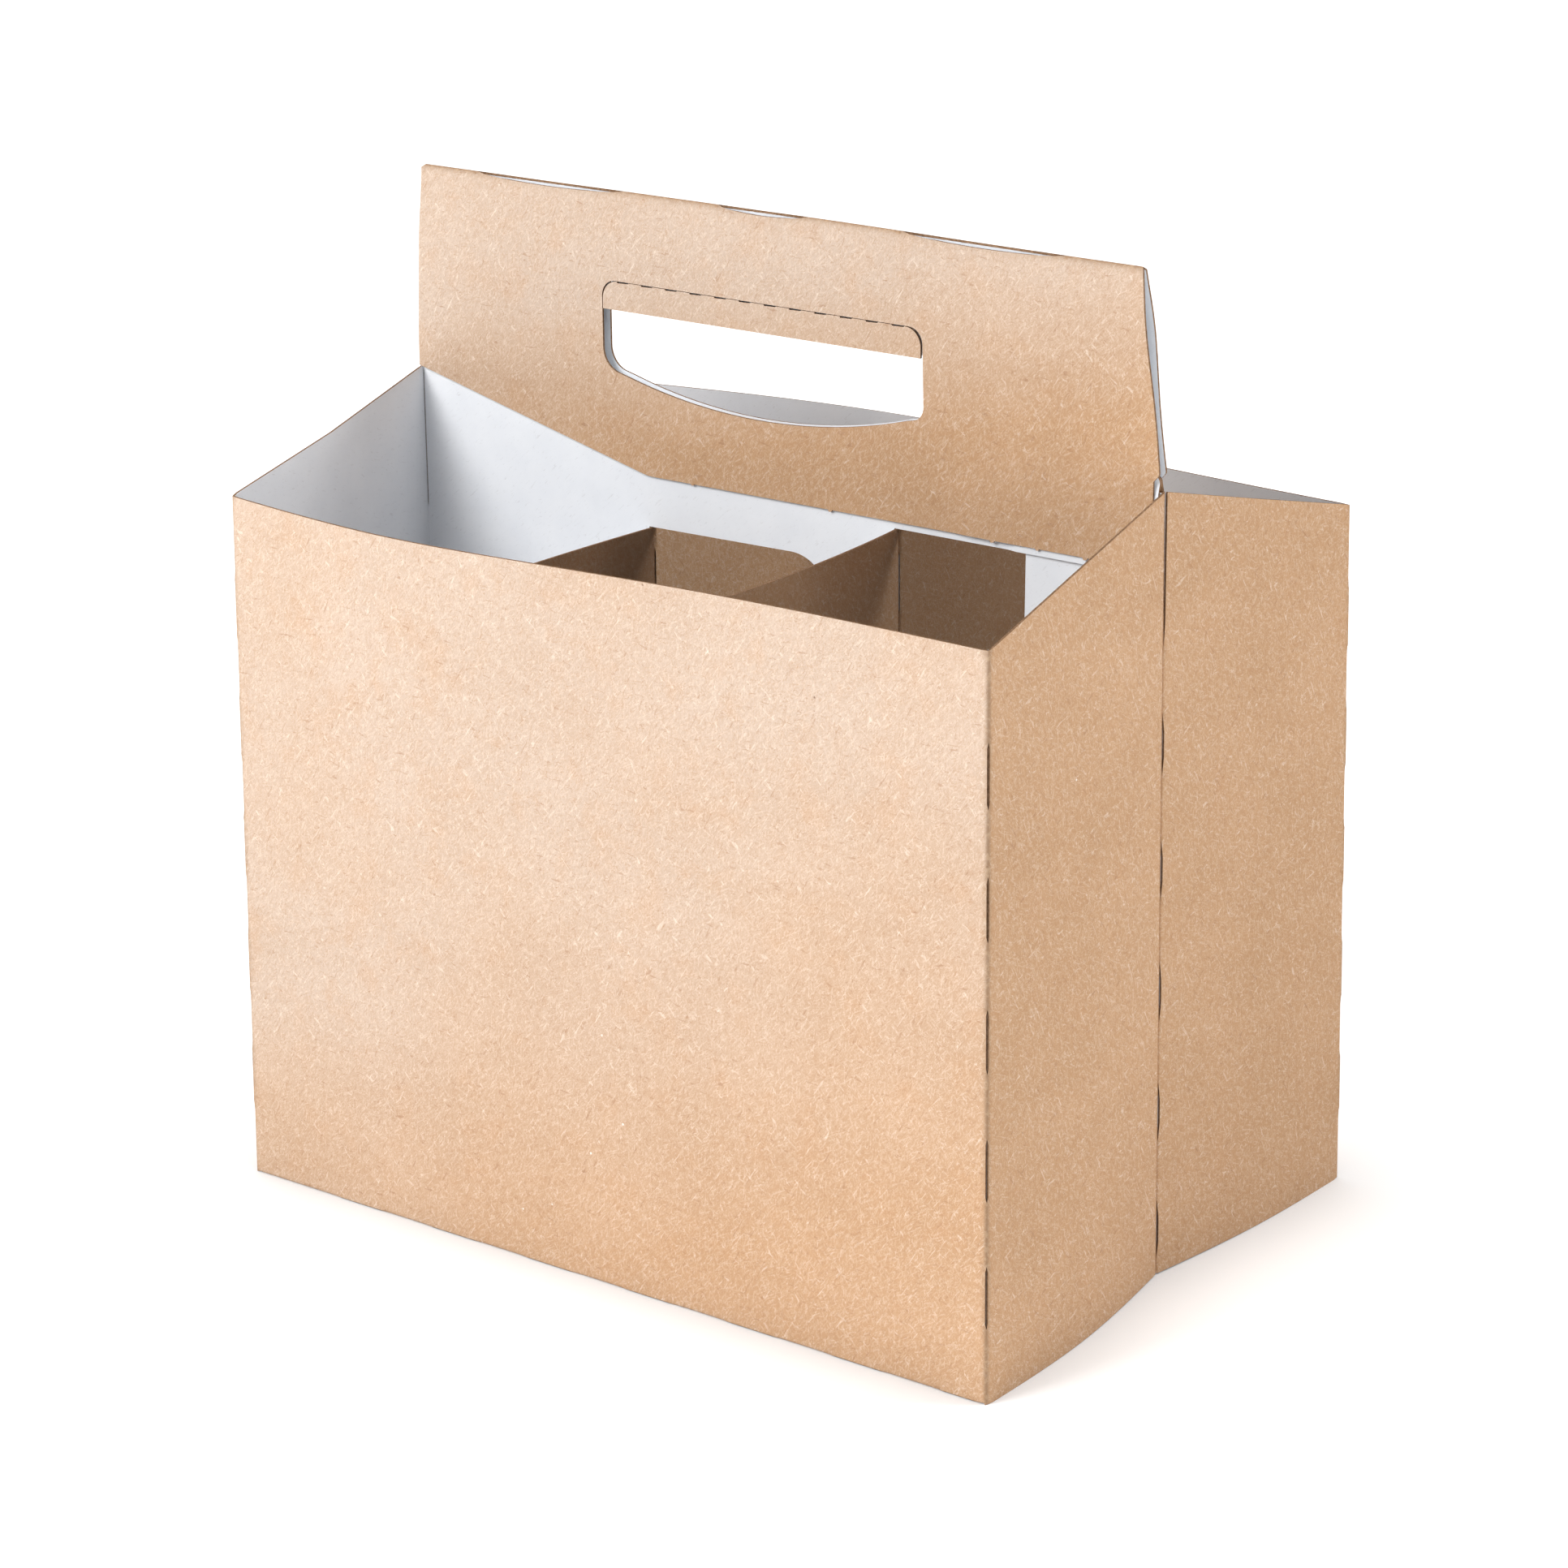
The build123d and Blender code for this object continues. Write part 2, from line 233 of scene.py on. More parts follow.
# Offsets of the finer grid lines beside folds
BODY_FOLD_LINES = (0, 0.2, 0.4, 0.6, 0.8, 1.0, 1.25, 1.6, 2.2, 3.2)
BASE_FOLD_LINES = (0, 0.3, 0.6, 0.9, 1.4)
STRAP_FOLD_LINES = (0, 0.2, 0.4, 0.6, 0.9, 1.4, 2.2)
TOP_FOLD_LINES = (0, 0.15, 0.3, 0.45, 0.6, 0.8, 1.0, 1.3, 1.8, 2.6, 3.6)
# Least distance of grid points from outlines
SHEET_CLEARANCE = 0.16
HANDLE_CLEARANCE = 0.14
FLAP_CLEARANCE = 0.2

# Colours of the board, as linear red, green and blue
KRAFT_DEEP = ((0.515, 0.305, 0.163), (0.578, 0.352, 0.199))
# The pale colours are painted light, for brown faces where the light falls most
KRAFT_PAINTED_LIT = ((0.558, 0.427, 0.333), (0.60, 0.470, 0.376))
KRAFT_STAIN = (0.56, 0.32, 0.17)
KRAFT_MOTTLE = (0.48, 0.28, 0.155)
# The colour that painted shade on the straps turns the brown towards
KRAFT_SHADED = (0.13, 0.066, 0.032)
DARK_SPECK = (0.20, 0.10, 0.055)
LIGHT_SPECK = (0.93, 0.90, 0.85)
WORN_FOLD = (0.31, 0.19, 0.11)
RUBBED_FOLD = (0.66, 0.47, 0.31)
LINER_WHITE = ((0.825, 0.845, 0.88), (0.87, 0.887, 0.915))
LINER_FLECK = (0.50, 0.49, 0.49)
CUT_BROWN = ((0.17, 0.095, 0.05), (0.31, 0.19, 0.115))
DARK_FIBRE = (0.45, 0.25, 0.13)
LIGHT_FIBRE = (0.90, 0.77, 0.64)
# Fibres in the brown face: length, width, thinness, patchiness, colour and strength of each kind
FIBRES = (
    (2.2, 0.50, 0.080, 0.46, LIGHT_FIBRE, 0.20),
    (1.8, 0.42, 0.080, 0.46, DARK_FIBRE, 0.22),
    (3.0, 0.60, 0.060, 0.50, LIGHT_FIBRE, 0.24),
    (2.6, 0.55, 0.060, 0.50, DARK_FIBRE, 0.26),
    (4.2, 0.90, 0.034, 0.62, (0.36, 0.18, 0.09), 0.45),
    (4.6, 1.00, 0.030, 0.63, (0.95, 0.85, 0.74), 0.35),
)

# Studio: lengths here are in metres
WHITE = (1.0, 1.0, 1.0)
FLOOR_HALF_SIZE = 6.0
FLOOR_COLOUR = ((0.93, 0.93, 0.93), (0.95, 0.95, 0.95))
# Glow of the floor near the part and far from it, and between which distances it rises
FLOOR_GLOW = (0.47, 0.95)
GLOW_RISE = (0.5, 1.6)
# Contact shadow: its colour, reach, least light and the range of openness that it spans
SHADOW_COLOUR = (0.50, 0.515, 0.54)
SHADOW_REACH = 0.026
SHADOW_LEAST = 0.25
SHADOW_RANGE = (0.42, 0.82)
SHADOW_SAMPLES = 3
# Strength of the sky above, and the rise from the full strength at the horizon to it
SKY_STRENGTH = 0.22
HORIZON_RISE = (0.05, 0.22)
# Each light: name, place, size and power
LIGHT_TARGET = (0, 0, 0.1)
LIGHTS = (
    ("key", (-0.55, -1.15, 1.1), 0.8, 22.5),
    ("back", (0.9, 0.75, 1.5), 0.6, 16.0),
)

# Photo camera
CAMERA_TARGET = Vector((4.865, -3.8, 89.197)) * MM
CAMERA_AZIMUTH = 37.84
CAMERA_ELEVATION = 18.144
CAMERA_ROLL = -0.478
CAMERA_DISTANCE = 923.38 * MM
CAMERA_LENS = 102.48
CAMERA_SENSOR = 36.0


def smooth(t):
    """Eased step from 0 to 1."""
    t = np.clip(t, 0.0, 1.0)
    return t * t * (3 - 2 * t)


def natural_spline(points):
    """A smooth curve through the points, as a function of an array."""
    x, y = (np.array(column, float) for column in zip(*points))
    count = len(x)
    step = np.diff(x)
    system = np.eye(count)
    right_side = np.zeros(count)
    for i in range(1, count - 1):
        system[i, i - 1:i + 2] = step[i - 1], 2 * (step[i - 1] + step[i]), step[i]
        right_side[i] = 6 * ((y[i + 1] - y[i]) / step[i] - (y[i] - y[i - 1]) / step[i - 1])
    bend = np.linalg.solve(system, right_side)

    def curve(t):
        t = np.clip(t, x[0], x[-1])
        i = np.clip(np.searchsorted(x, t, side="right") - 1, 0, count - 2)
        before = t - x[i]
        after = x[i + 1] - t
        value = (bend[i] * after ** 3 + bend[i + 1] * before ** 3) / (6 * step[i])
        value += (y[i] / step[i] - bend[i] * step[i] / 6) * after
        return value + (y[i + 1] / step[i] - bend[i + 1] * step[i] / 6) * before

    return curve


# Plan of the folds and walls. Plan points are complex numbers: x + iy.

def fold_at(name, z):
    """Plan place of an upright fold at heights z."""
    base, top = (complex(*shift) for shift in FOLD_SHIFT[name])
    return SQUARE_PLAN[name] + base + (top - base) * (z / WALL_TOP)


def wall(start, end, bow_size, bow_shape, bow_rises):
    """A wall panel between two folds, in anticlockwise order, as a function of share and height."""
    shape = natural_spline(bow_shape)

    def at(t, z):
        a = fold_at(start, z)
        along = fold_at(end, z) - a
        share = z / WALL_TOP if bow_rises else np.clip(1 - z / WALL_TOP, 0, None)
        outward = -1j * along / np.abs(along)
        return a + along * t + outward * bow_size * share ** 2 * shape(t)

    return at


def long_wall(side):
    """The front or the back wall, in anticlockwise order."""
    if side < 0:
        return wall("front_left", "front_right", FRONT_BOW, FRONT_BOW_SHAPE, True)
    return wall("back_right", "back_left", BACK_BOW, BACK_BOW_SHAPE, True)


def backwards(panel):
    """The same panel, walked from its other end."""
    return lambda t, z: panel(1 - t, z)


def plan_path(panels, rounds):
    """A walk along panels given as (length, function), with rounded folds, and the folds' places."""
    starts = np.concatenate([[0], np.cumsum([length for length, panel in panels])])

    def at(u, z):
        point = np.zeros(len(u), complex)
        for k, (length, panel) in enumerate(panels):
            low = -math.inf if k == 0 else starts[k]
            high = math.inf if k == len(panels) - 1 else starts[k + 1]
            here = (u >= low) & (u <= high)
            point[here] = panel((u[here] - starts[k]) / length, z[here])
        for k in range(1, len(panels)):
            reach = rounds[k - 1](z) if callable(rounds[k - 1]) else np.full(len(u), rounds[k - 1])
            here = np.abs(u - starts[k]) < reach
            if not here.any():
                continue
            w = reach[here]
            t = (u[here] - starts[k] + w) / (2 * w)
            before_length, before = panels[k - 1]
            after_length, after = panels[k]
            a = before(1 - w / before_length, z[here])
            b = after(w / after_length, z[here])
            corner = after(np.zeros(len(w)), z[here])
            point[here] = (1 - t) ** 2 * a + 2 * t * (1 - t) * corner + t ** 2 * b
        return point

    return at, starts


# Sheets of board: a flat outline is triangulated, bent into place and given its thickness.

def resample(loop, step):
    """A closed loop with points no further apart than the step."""
    loop = [np.array(p, float) for p in loop]
    out = []
    for a, b in zip(loop, loop[1:] + loop[:1]):
        count = max(1, math.ceil(np.linalg.norm(b - a) / step - 1e-9))
        out += [a + (b - a) * i / count for i in range(count)]
    return np.array(out)


def inside(points, loops):
    """Which points lie inside the first loop and outside the others."""
    odd = np.zeros(len(points), bool)
    x, y = points.T
    for loop in loops:
        for (x0, y0), (x1, y1) in zip(loop, np.roll(loop, -1, axis=0)):
            if y0 == y1:
                continue
            crosses = (y0 > y) != (y1 > y)
            odd ^= crosses & (x < x0 + (y - y0) * (x1 - x0) / (y1 - y0))
    return odd


def triangulate(loops, columns, rows, clearance):
    """Points and triangles that fill the loops, with grid points on the columns and rows."""
    grid = np.array(np.meshgrid(columns, rows)).reshape(2, -1).T
    grid = grid[inside(grid, loops)]
    edge_points = np.concatenate(loops)
    tree = kdtree.KDTree(len(edge_points))
    for i, (x, y) in enumerate(edge_points):
        tree.insert((x, y, 0), i)
    tree.balance()
    grid = np.array([p for p in grid if tree.find((p[0], p[1], 0))[2] > clearance])
    edges = []
    first = 0
    for loop in loops:
        count = len(loop)
        edges += [(first + i, first + (i + 1) % count) for i in range(count)]
        first += count
    points = np.concatenate([edge_points, grid]) if len(grid) else edge_points
    found = delaunay_2d_cdt([Vector(p) for p in points], edges, [], 0, 1e-6)
    points = np.array([tuple(p) for p in found[0]])
    faces = np.array([f for f in found[2] if len(f) == 3])
    faces = faces[inside(points[faces].mean(axis=1), loops)]
    used, numbers = np.unique(faces, return_inverse=True)
    return points[used], numbers.reshape(faces.shape)


def bent_normals(place, uv, side):
    """Unit normals of the bent sheet's brown face."""
    across = place(uv + (NORMAL_STEP, 0)) - place(uv - (NORMAL_STEP, 0))
    up = place(uv + (0, NORMAL_STEP)) - place(uv - (0, NORMAL_STEP))
    normal = np.cross(across, up) * side
    size = np.linalg.norm(normal, axis=1)
    assert size.min() > 0, "two folds of the sheet run into each other"
    return normal / size[:, None]


def board_sheet(name, loops, columns, rows, place, side, clearance, painted=None):
    """A sheet of board as a mesh object: place() gives its brown face, the white one lies inside."""
    uv, faces = triangulate(loops, columns, rows, clearance)
    outer = place(uv)
    inner = outer - bent_normals(place, uv, side) * BOARD
    inner[:, 2] = np.maximum(inner[:, 2], 0)
    count = len(uv)
    if side < 0:
        faces = faces[:, ::-1]
    directed = {(a, b) for f in faces.tolist() for a, b in zip(f, f[1:] + f[:1])}
    rim = [(a, b) for a, b in directed if (b, a) not in directed]
    polygons = faces.tolist() + (faces[:, ::-1] + count).tolist()
    polygons += [(b, a, a + count, b + count) for a, b in sorted(rim)]
    mesh = bpy.data.meshes.new(name)
    mesh.from_pydata((np.concatenate([outer, inner]) * MM).tolist(), [], polygons)
    kinds = np.repeat([0, 1, 2], [len(faces), len(faces), len(rim)]).astype(np.int32)
    mesh.polygons.foreach_set("material_index", kinds)
    mesh.polygons.foreach_set("use_smooth", np.ones(len(polygons), bool))
    for layer, paint in (painted or {}).items():
        values = paint(uv)
        attribute = mesh.attributes.new(layer, "FLOAT", "POINT")
        attribute.data.foreach_set("value", np.concatenate([values, values]).astype(np.float32))
    mesh.set_sharp_from_angle(angle=SHARP_ANGLE)
    for material in (kraft, liner, cut_edge):
        mesh.materials.append(material)
    piece = bpy.data.objects.new(name, mesh)
    bpy.context.scene.collection.objects.link(piece)
    return piece


def lines(low, high, step, fine=(), offsets=()):
    """Grid lines from low to high, with finer ones at given offsets either side of the fine places."""
    spread = {round(o * s, 4) for o in offsets for s in (-1, 1)}
    close = sorted(f + o for f in fine for o in spread)
    coarse = np.arange(low + step / 2, high, step)
    reach = max(offsets, default=0) + step / 3
    coarse = [c for c in coarse if all(abs(c - f) > reach for f in fine)]
    return np.array(sorted(close + coarse))


def rounded(corners, step=ARC_STEP):
    """A closed loop from corners given as (x, y, radius), its rounded corners as arcs."""
    out = []
    count = len(corners)
    for i, (x, y, radius) in enumerate(corners):
        here = complex(x, y)
        if radius == 0:
            out.append((x, y))
            continue
        back = complex(*corners[i - 1][:2]) - here
        ahead = complex(*corners[(i + 1) % count][:2]) - here
        back /= abs(back)
        ahead /= abs(ahead)
        half = abs(np.angle(ahead / back)) / 2
        if math.pi / 2 - half < 1e-4:
            out.append((x, y))
            continue
        centre = here + (back + ahead) / abs(back + ahead) * radius / math.sin(half)
        first = here + back * radius / math.tan(half) - centre
        last = here + ahead * radius / math.tan(half) - centre
        turn = np.angle(last / first)
        pieces = max(2, math.ceil(abs(turn) * radius / step))
        for k in range(pieces + 1):
            p = centre + first * np.exp(1j * turn * k / pieces)
            out.append((p.real, p.imag))
    return out


def slit(u, low, high, width, taper=CUT_TAPER, lean=0.5):
    """A thin upright cut that closes to a point at both ends; lean is the share of it beyond u."""
    ahead, behind = width * lean, width * (1 - lean)
    return [(u, low), (u + ahead, low + taper), (u + ahead, high - taper),
            (u, high), (u - behind, high - taper), (u - behind, low + taper)]


def fold_cuts(top):
    """Low and high ends of the cuts in an upright fold."""
    return [(top - i * CUT_PITCH - CUT_LENGTH, top - i * CUT_PITCH) for i in range(CUT_COUNT)]


def tightened(along, usual, tight, cuts):
    """Half width of a fold at places along it: tighter where it is cut."""
    reach = np.full(len(along), usual)
    for low, high in cuts:
        begun = smooth((along - low + CUT_EASE / 2) / CUT_EASE)
        reach -= (usual - tight) * (begun * smooth((high + CUT_EASE / 2 - along) / CUT_EASE))
    return reach


# Materials

def shader_tools(name):
    """A new material with its shader, and a function that adds a node with inputs and settings."""
    material = bpy.data.materials.new(name)
    material.use_nodes = True
    tree = material.node_tree
    shader = tree.nodes["Principled BSDF"]

    def add(kind, inputs=(), **settings):
        node = tree.nodes.new("ShaderNode" + kind)
        for key, value in settings.items():
            setattr(node, key, value)
        for key, value in dict(inputs).items():
            if isinstance(value, bpy.types.NodeSocket):
                tree.links.new(value, node.inputs[key])
            else:
                node.inputs[key].default_value = value
        return node

    return material, tree, shader, add


def ramp(add, value, low, high, out_low=0.0, out_high=1.0):
    """A value's share of the way from low to high."""
    return add("MapRange", {"Value": value, "From Min": low, "From Max": high,
                            "To Min": out_low, "To Max": out_high}).outputs[0]


def calculated(add, operation, a, b=0.5):
    """The result of one sum on values."""
    return add("Math", {0: a, 1: b}, operation=operation).outputs[0]


def product(add, a, b):
    """Two values multiplied."""
    return calculated(add, "MULTIPLY", a, b)


def dot(add, coordinates, direction):
    """How far coordinates lie along a direction."""
    return add("VectorMath", {0: coordinates, 1: direction}, operation="DOT_PRODUCT").outputs["Value"]


def noise(add, place, scale, detail=2.0, roughness=0.5, distortion=0.0, dimensions="3D"):
    """A noise value around 0.5."""
    return add("TexNoise", {"Vector": place, "Scale": scale, "Detail": detail, "Roughness": roughness,
                            "Distortion": distortion}, noise_dimensions=dimensions).outputs["Fac"]


def mixed(add, factor, a, b, strength=1.0):
    """Colour a turned towards colour b by a factor."""
    if strength != 1.0:
        factor = product(add, factor, strength)
    a, b = ((*colour, 1) if isinstance(colour, tuple) else colour for colour in (a, b))
    return add("Mix", {0: factor, 6: a, 7: b}, data_type="RGBA").outputs[2]


def painted_on(add, layer):
    """A value painted on the mesh."""
    return add("Attribute", attribute_name=layer).outputs["Fac"]


def coat(tree, shader, add, colour, relief, roughness, shine):
    """Sets the shader's colour, its relief given as (height, strength, distance), and its gloss."""
    height, strength, distance = relief
    tree.links.new(colour, shader.inputs["Base Color"])
    bump = add("Bump", {"Height": height, "Strength": strength, "Distance": distance})
    tree.links.new(bump.outputs[0], shader.inputs["Normal"])
    shader.inputs["Roughness"].default_value = roughness
    shader.inputs["Specular IOR Level"].default_value = shine


def flat_coordinates(add, coordinates):
    """Coordinates that lie in every upright or level face: (x + y, z + (y - x) / 2)."""
    along = dot(add, coordinates, (1, 1, 0))
    up = dot(add, coordinates, (-0.5, 0.5, 1))
    return add("CombineXYZ", {0: along, 1: up}).outputs[0]


def fibre_layer(add, flat, length, width, angle, seed, thin, patches):
    """Short bent strokes: thin level lines of a stretched noise, kept only in scattered patches."""
    place = add("Mapping", {"Vector": flat, "Location": (seed, -seed, 0),
                            "Rotation": (0, 0, math.radians(angle)),
                            "Scale": (length * MM, width * MM, 1)}, vector_type="TEXTURE").outputs[0]
    field = noise(add, place, 1.0, detail=1.0, distortion=0.7, dimensions="2D")
    near = calculated(add, "ABSOLUTE", calculated(add, "SUBTRACT", field, 0.5))
    stroke = ramp(add, near, 0.0, thin, 1.0, 0.0)
    spots = noise(add, place, 1.35, detail=0.0, dimensions="2D")
    return product(add, stroke, ramp(add, spots, patches, patches + 0.1))


def painted_light_paleness(add, coordinates):
    """Painted light: how far the brown is paler where the light falls most: on the front faces, high up
    and to the left.
    """
    facing = add("SeparateXYZ", {0: add("NewGeometry").outputs["Normal"]}).outputs[1]
    front = ramp(add, facing, -0.35, -0.9)
    wall_rise = dot(add, coordinates, (-0.45, 0, 1))
    ply_rise = dot(add, coordinates, (-0.2, 0, 1))
    on_wall = ramp(add, add("SeparateXYZ", {0: coordinates}).outputs[1], -0.03, -0.06)
    on_ply = ramp(add, on_wall, 0.0, 1.0, 1.0, 0.0)
    wall_level = product(add, ramp(add, wall_rise, 0.0, 0.085, 0.08, 1.0), on_wall)
    ply_level = product(add, ramp(add, ply_rise, 0.160, 0.195, 0.0, 1.1), on_ply)
    level = calculated(add, "ADD", wall_level, ply_level)
    drift = ramp(add, noise(add, coordinates, 16.0), 0.3, 0.7, 0.72, 1.18)
    return product(add, product(add, level, drift), front)


def speckled(add, coordinates, colour):
    """A colour with scattered dark and light specks."""
    cells = add("TexVoronoi", {"Vector": coordinates, "Scale": 150.0, "Randomness": 1.0})
    near = ramp(add, cells.outputs["Distance"], 0.022, 0.05, 1.0, 0.0)
    chance = add("SeparateColor", {"Color": cells.outputs["Color"]})
    dark = product(add, near, ramp(add, chance.outputs[0], 0.94, 0.95))
    light = product(add, near, ramp(add, chance.outputs[1], 0.955, 0.965))
    colour = mixed(add, dark, colour, DARK_SPECK, 0.75)
    return mixed(add, light, colour, LIGHT_SPECK, 0.85)


def make_kraft():
    """The brown face: mottled pulp with light and dark fibres, specks and rubbed folds, with painted
    light making it paler and painted shade darkening the straps.
    """
    material, tree, shader, add = shader_tools("kraft_face")
    coordinates = add("TexCoord").outputs["Object"]
    pressed = add("Mapping", {"Vector": coordinates, "Scale": (1, 1, 3.2)}).outputs[0]
    cloud = calculated(add, "ADD", noise(add, coordinates, 45.0, 5.0, 0.6),
                       noise(add, pressed, 13.0, 4.0, 0.55, distortion=0.4))
    cloud = ramp(add, cloud, 0.72, 1.28)
    # Painted light: the brown turns paler where the light falls most
    colour = mixed(add, painted_light_paleness(add, coordinates), mixed(add, cloud, *KRAFT_DEEP),
                   mixed(add, cloud, *KRAFT_PAINTED_LIT))
    stain = ramp(add, noise(add, coordinates, 110.0, 3.0, 0.6), 0.52, 0.72)
    colour = mixed(add, stain, colour, KRAFT_STAIN, 0.28)
    mottle = noise(add, coordinates, 360.0, 4.0, 0.72)
    colour = mixed(add, ramp(add, mottle, 0.5, 0.32), colour, KRAFT_MOTTLE, 0.2)
    flat = flat_coordinates(add, coordinates)
    layers = []
    for k, (length, width, thin, patches, brown, depth) in enumerate(FIBRES):
        for turn in (0, 1):
            angle, seed = 37 + 73 * k + 83 * turn, 3.1 + k + turn / 2
            layer = fibre_layer(add, flat, length, width, angle, seed, thin, patches)
            colour = mixed(add, layer, colour, brown, depth)
            layers.append(layer)
    colour = speckled(add, coordinates, colour)
    worn = painted_on(add, "worn")
    rub = ramp(add, noise(add, coordinates, 800.0, 3.0, 0.7), 0.5, 0.62)
    colour = mixed(add, worn, colour, WORN_FOLD, 0.72)
    colour = mixed(add, product(add, worn, rub), colour, RUBBED_FOLD, 0.45)
    # Painted shade on the straps inside the cells, from the painted "shade" layer
    colour = mixed(add, painted_on(add, "shade"), colour, KRAFT_SHADED)
    height = calculated(add, "ADD", calculated(add, "ADD", layers[0], layers[3]), mottle)
    coat(tree, shader, add, colour, (height, 0.18, 0.07 * MM), 0.86, 0.22)
    return material


def make_liner():
    """The white face: smooth coated board with a faint cool cast and fine grey flecks."""
    material, tree, shader, add = shader_tools("white_liner")
    coordinates = add("TexCoord").outputs["Object"]
    cloud = ramp(add, noise(add, coordinates, 110.0, 4.0, 0.6), 0.3, 0.7)
    flecks = fibre_layer(add, flat_coordinates(add, coordinates), 2.0, 0.7, 20, 5.7, 0.03, 0.60)
    colour = mixed(add, flecks, mixed(add, cloud, *LINER_WHITE), LINER_FLECK, 0.30)
    coat(tree, shader, add, colour, (noise(add, coordinates, 900.0, 3.0), 0.10, 0.04 * MM), 0.62, 0.3)
    return material


def make_cut_edge():
    """The cut edge of the board: grey brown, streaked along its plies."""
    material, tree, shader, add = shader_tools("cut_edge")
    coordinates = add("TexCoord").outputs["Object"]
    grain = noise(add, coordinates, 1500.0, 3.0, 0.7)
    colour = mixed(add, ramp(add, grain, 0.35, 0.65), *CUT_BROWN)
    coat(tree, shader, add, colour, (grain, 0.3, 0.08 * MM), 0.92, 0.15)
    return material


kraft = make_kraft()
liner = make_liner()
cut_edge = make_cut_edge()


# The folded sheet around the front cells and its mirror image around the back cells.
# A side of -1 is the front half and 1 the back half.
HALF = {-1: "front", 1: "back"}


def riser_line(side):
    """The riser from the left centre fold to the right end, stepped out over the glue flap."""
    def at(t, z):
        start = fold_at("left_centre", z)
        x = start.real + (RISER_END - start.real) * t
        settle = 1 - smooth((x - start.real) / RISER_SETTLE)
        over_flap = smooth((x - FLAP_LEFT + RISER_STEP) / RISER_STEP)
        below_top = smooth((FOLD_TOP + STEP_TOP_EASE - z) / STEP_TOP_EASE)
        step = (BOARD + GLUE_GAP) * over_flap * below_top
        return x + 1j * (start.imag * settle + side * (GLUE_GAP + step))

    return at


def flap_line(side):
    """The glue flap from its left edge to the right centre fold."""
    def at(t, z):
        end = fold_at("right_centre", z)
        x = FLAP_LEFT + (end.real - FLAP_LEFT) * t
        rise = smooth((x - FLAP_LEFT) / (end.real - FLAP_LEFT))
        return x + 1j * (end.imag * rise + side * GLUE_GAP)

    return at


def corner_round(z):
    """Half width of a corner fold at heights z."""
    return tightened(z, CORNER_ROUND, CORNER_ROUND_AT_CUT, fold_cuts(CORNER_CUT_TOP))


def body_path(side):
    """Walk of one sheet in plan, from its glue flap round the walls to the end of its riser."""
    if side < 0:
        end_1 = backwards(wall("front_right", "right_centre", END_BOW_FRONT, END_BOW_SHAPE, False))
        middle = backwards(long_wall(side))
        end_2 = backwards(wall("left_centre", "front_left", END_BOW_FRONT, END_BOW_SHAPE, False))
    else:
        end_1 = wall("right_centre", "back_right", END_BOW_BACK, END_BOW_SHAPE, False)
        middle = long_wall(side)
        end_2 = wall("back_left", "left_centre", END_BOW_BACK, END_BOW_SHAPE, False)
    apart = 1j * side * GLUE_GAP
    panels = [
        (PANEL / 2 - FLAP_LEFT, flap_line(side)),
        (HALF_DEPTH, lambda t, z: end_1(t, z) + apart * (1 - t)),
        (PANEL, middle),
        (HALF_DEPTH, lambda t, z: end_2(t, z) + apart * t),
        (PANEL / 2 + RISER_END, riser_line(side)),
    ]
    return plan_path(panels, [CENTRE_ROUND, corner_round, corner_round, CENTRE_ROUND])


def low_window(start):
    """Outline of the low strap's window in the riser; start is the hinge's place."""
    end = start + HALF_DEPTH + GLUE_TAB
    return rounded((
        (start - STRAP_ROUND, LOW_STRAP["bottom"], 0),
        (end, LOW_STRAP["bottom"], STRAP_CORNER),
        (end, LOW_STRAP["arm_top"], STRAP_CORNER),
        (start + LOW_SLOPE_END, LOW_STRAP["arm_top"], STRAP_CORNER),
        (start + LOW_SHOULDER, LOW_STRAP["top"] + 0.3, SHOULDER_RADIUS),
        (start - STRAP_ROUND, LOW_STRAP["top"] - 0.3, 0),
    ))


def bottom_insets(side, end):
    """How far a bottom panel's end stays in from its corner fold, to clear the bowed end walls."""
    base = np.zeros(1)
    corner = fold_at(f"{HALF[side]}_{end}", base)[0]
    out = 1 if end == "right" else -1
    insets = []
    for reach in np.linspace(3, BOTTOM_REACH, 9):
        y = corner.imag - side * reach
        half = "front" if y < 0 else "back"
        outer = fold_at(f"{half}_{end}", base)[0]
        centre = fold_at(f"{end}_centre", base)[0]
        share = np.clip((y - centre.imag) / (outer.imag - centre.imag), 0, 1)
        x = centre.real + (outer.real - centre.real) * share
        insets.append((reach, max((corner.real - x) * out + BOTTOM_INSET, BOTTOM_INSET)))
    return insets


